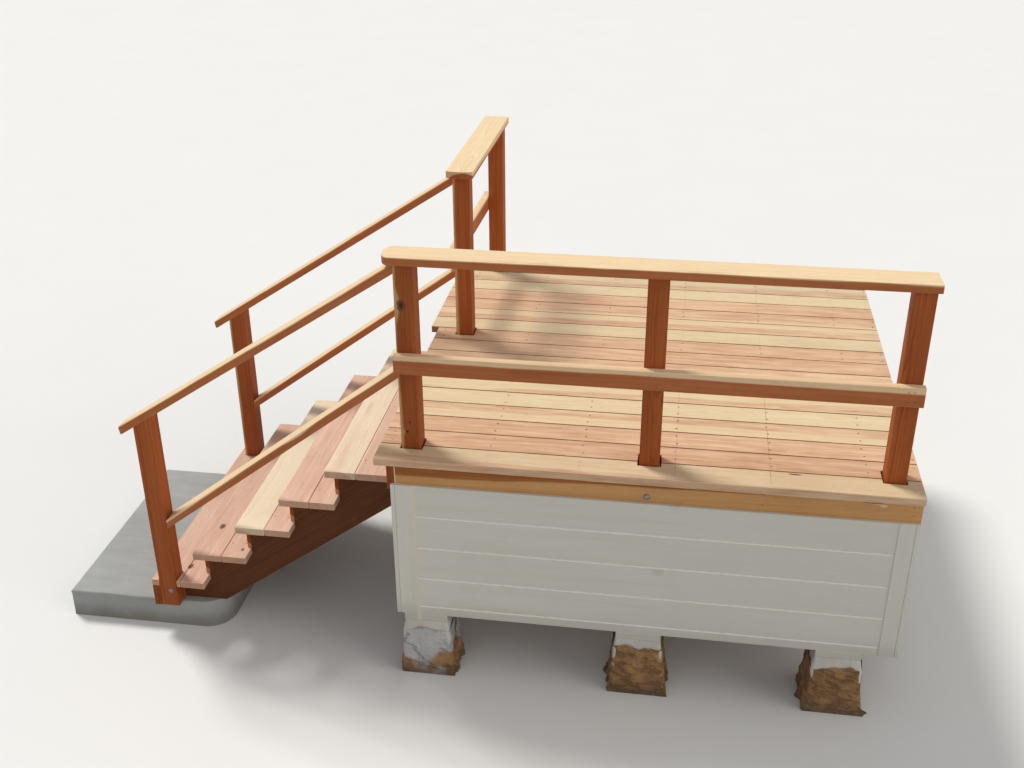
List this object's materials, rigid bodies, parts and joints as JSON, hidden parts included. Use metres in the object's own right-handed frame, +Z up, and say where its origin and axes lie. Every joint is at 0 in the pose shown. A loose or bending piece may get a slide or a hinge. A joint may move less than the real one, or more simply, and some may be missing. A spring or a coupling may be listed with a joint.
{
  "type": "raised deck with side steps",
  "caption": "Small raised timber deck with a straight flight of wooden steps up its side, guard rails, handrails, painted board skirt, square piers and a concrete landing pad.",
  "frame": {"origin": "middle of the footprint at floor level", "axes": "+X from the foot of the stairs along the deck's front to its far end, +Y from the front towards the house, +Z up"},
  "size_m": [4.0786, 2.428, 2.11],
  "materials": {
    "redwood": "sawn heartwood with a clear oil finish, satin",
    "rails": "planed softwood with pale sapwood, satin",
    "deck_boards": "planed boards, matt to satin",
    "treads": "planed boards, matt to satin",
    "framing": "rough sawn, matt",
    "stringer_stain": "red-brown stain, matt",
    "skirt_paint": "white primer on boards, matt",
    "concrete": "floated concrete, matt",
    "pier_concrete": "rough cast concrete, matt"
  },
  "bodies": {
    "root": {"landing_pad": "concrete", "piers": "pier_concrete", "pier_blocks": "skirt_paint", "pier_posts": "framing", "rim_front_outer": "redwood", "rim_front_inner": "framing", "rim_back": "framing", "rim_left": "redwood", "rim_right": "framing", "floor_joists": "framing", "post_blocking": "framing", "stringer_hanger": "framing", "deck_front_board": "deck_boards", "deck_second_board": "deck_boards", "deck_boards_stair_side": "deck_boards", "deck_boards_wall_side": "deck_boards", "front_post_left": "redwood", "front_post_middle": "redwood", "front_post_right": "redwood", "stair_head_post": "redwood", "wall_post": "redwood", "front_cap_rail": "rails", "front_mid_rail": "rails", "side_cap_rail": "rails", "side_mid_rail": "rails", "stringer_near": "stringer_stain", "stringer_centre": "stringer_stain", "stringer_far": "stringer_stain", "tread_1": "treads", "tread_2": "treads", "tread_3": "treads", "tread_4": "treads", "tread_5": "treads", "bottom_riser": "redwood", "risers": "redwood", "top_riser": "redwood", "newel_near": "redwood", "newel_far": "redwood", "handrail_near": "rails", "handrail_far": "rails", "stair_mid_rail_near": "rails", "stair_mid_rail_far": "rails", "skirt_front": "skirt_paint", "skirt_left": "skirt_paint", "skirt_right": "skirt_paint", "skirt_corner_left": "skirt_paint", "skirt_corner_right": "skirt_paint", "skirt_nailer_front": "framing", "skirt_nailers_side": "framing"}
  },
  "joints": []
}
